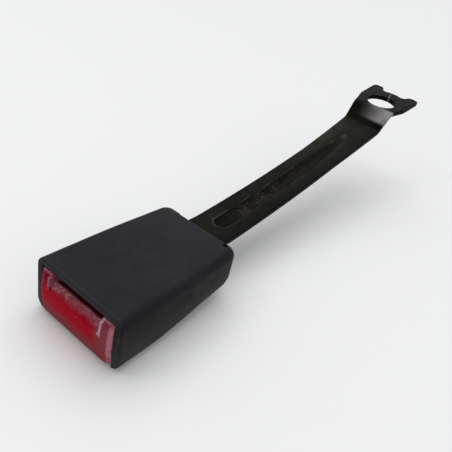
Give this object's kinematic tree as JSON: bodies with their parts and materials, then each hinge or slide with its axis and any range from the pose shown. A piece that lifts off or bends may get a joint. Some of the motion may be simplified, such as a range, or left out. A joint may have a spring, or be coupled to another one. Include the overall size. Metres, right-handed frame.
{
  "type": "seat belt buckle",
  "caption": "Seat belt buckle with a red push button in a plastic cover, on a stiff ribbed steel strap that ends in a cranked anchor plate with a bolt hole.",
  "frame": {"origin": "centre of the anchor hole at the middle of the plate's thickness", "axes": "+X from the anchor hole towards the push button, level with the covers' flat top; +Z square to that flat top, upwards; +Y across the width to the left of the way the button faces"},
  "size_m": [0.2348, 0.0426, 0.0491],
  "materials": {
    "strap_steel": "satin black coating",
    "bright_steel": "zinc plated",
    "spring_steel": "oiled wire",
    "cover_plastic": "fine grained",
    "button_plastic": "glossy",
    "inner_plastic": "natural acetal",
    "felt": "pressed felt",
    "pad_rubber": "matt"
  },
  "bodies": {
    "housing": {"anchor_strap": "strap_steel", "frame": "bright_steel", "frame_rivets": "bright_steel", "upper_cover": "cover_plastic", "lower_cover": "cover_plastic", "tongue_guide": "inner_plastic", "latch_pin": "bright_steel", "pin_clips": "spring_steel", "button_spring_left": "spring_steel", "button_spring_right": "spring_steel", "ejector_spring": "spring_steel", "latch_spring": "spring_steel", "rattle_felt": "felt", "frame_pads": "pad_rubber"},
    "release": {"release_button": "button_plastic", "release_slider": "inner_plastic", "lock_bar": "bright_steel"},
    "latch": {"latch": "bright_steel"},
    "ejector": {"ejector": "inner_plastic"}
  },
  "joints": [
    {"name": "button_press", "type": "slide", "parent": "housing", "child": "release", "axis": [-1, 0, 0], "range_m": [0, 0.005], "stiffness_N_per_m": 800, "springref_m": -0.004, "deforming": ["button_spring_left", "button_spring_right"]},
    {"name": "latch_pivot", "type": "hinge", "parent": "housing", "child": "latch", "pos_m": [0.17089, 0, -0.03516], "axis": [0, 1, 0], "range_deg": [0, 11.5], "deforming": ["latch_spring"]},
    {"name": "ejector_slide", "type": "slide", "parent": "housing", "child": "ejector", "axis": [-1, 0, 0], "range_m": [0, 0.0075], "stiffness_N_per_m": 400, "springref_m": -0.005, "deforming": ["ejector_spring"]}
  ],
  "couplings": [
    {"joint": "latch_pivot", "follows": "button_press", "rad_per_m": 40.14}
  ]
}
